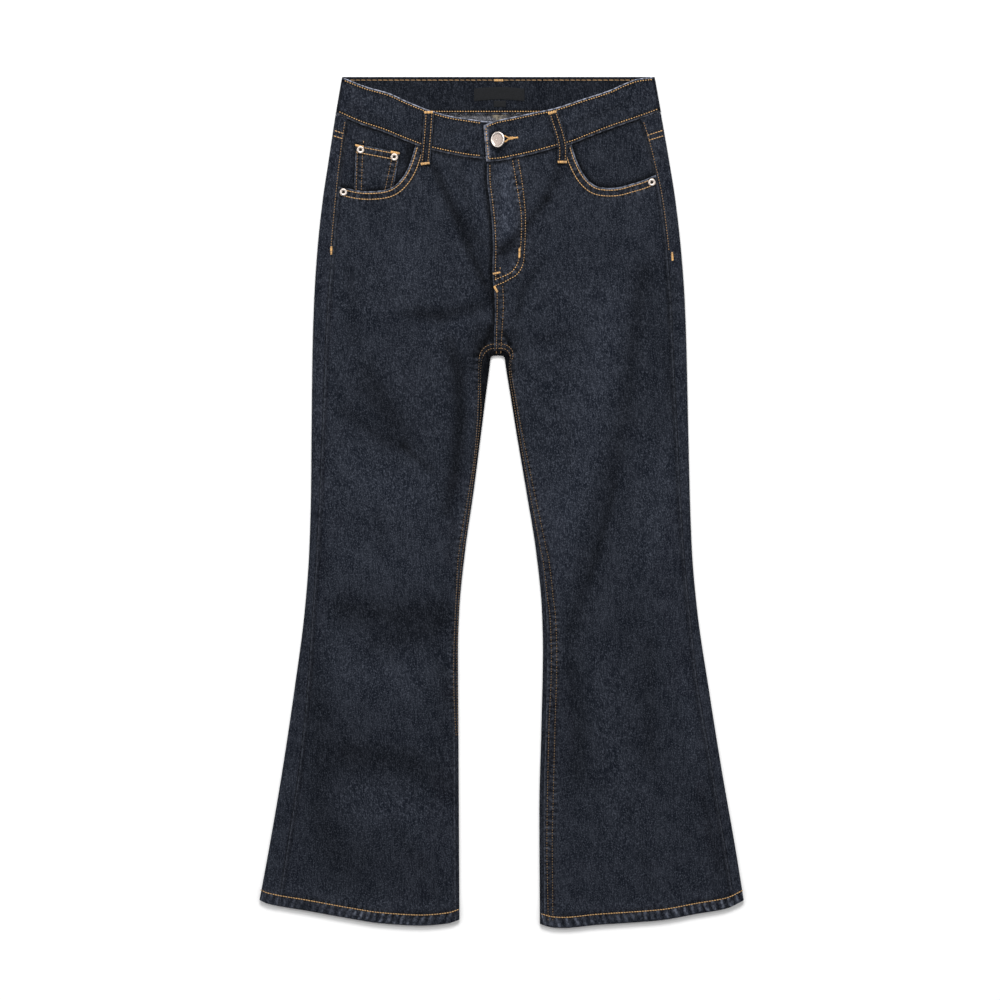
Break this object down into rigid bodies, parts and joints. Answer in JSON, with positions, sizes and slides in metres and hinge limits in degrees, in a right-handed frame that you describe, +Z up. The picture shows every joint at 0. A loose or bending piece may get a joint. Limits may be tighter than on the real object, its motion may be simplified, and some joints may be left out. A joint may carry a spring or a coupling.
{
  "type": "wide-leg jeans",
  "caption": "Dark indigo denim jeans with flared wide legs, curved front pockets, a buttoned waistband over a lapped fly and stitched hems, laid flat with the front up.",
  "frame": {"origin": "on the surface that the jeans lie on, under the middle of the spread garment's bounding box", "axes": "+Y from the hems to the waist, +Z up from the surface out of the front of the jeans, +X to the wearer's left"},
  "size_m": [0.5716, 1.0044, 0.0215],
  "materials": {
    "denim": "rinsed dark indigo twill with tobacco-gold topstitching",
    "button_metal": "pale nickel, polished rim and matte recessed face",
    "rivet_metal": "pale nickel",
    "woven_label": "plain woven tape, blank"
  },
  "bodies": {
    "root": {"waistband": "denim", "belt_loop_front_right": "denim", "belt_loop_front_left": "denim", "belt_loop_back": "denim", "belt_loop_back_right": "denim", "belt_loop_back_left": "denim", "front_right": "denim", "front_left": "denim", "pocket_facing_right": "denim", "pocket_facing_left": "denim", "coin_pocket": "denim", "yoke_right": "denim", "yoke_left": "denim", "back_right": "denim", "back_left": "denim", "back_pocket_right": "denim", "back_pocket_left": "denim", "button": "button_metal", "rivet_coin_outer": "rivet_metal", "rivet_coin_inner": "rivet_metal", "rivet_pocket_right": "rivet_metal", "rivet_pocket_left": "rivet_metal", "label": "woven_label", "size_tab": "woven_label"}
  },
  "joints": []
}
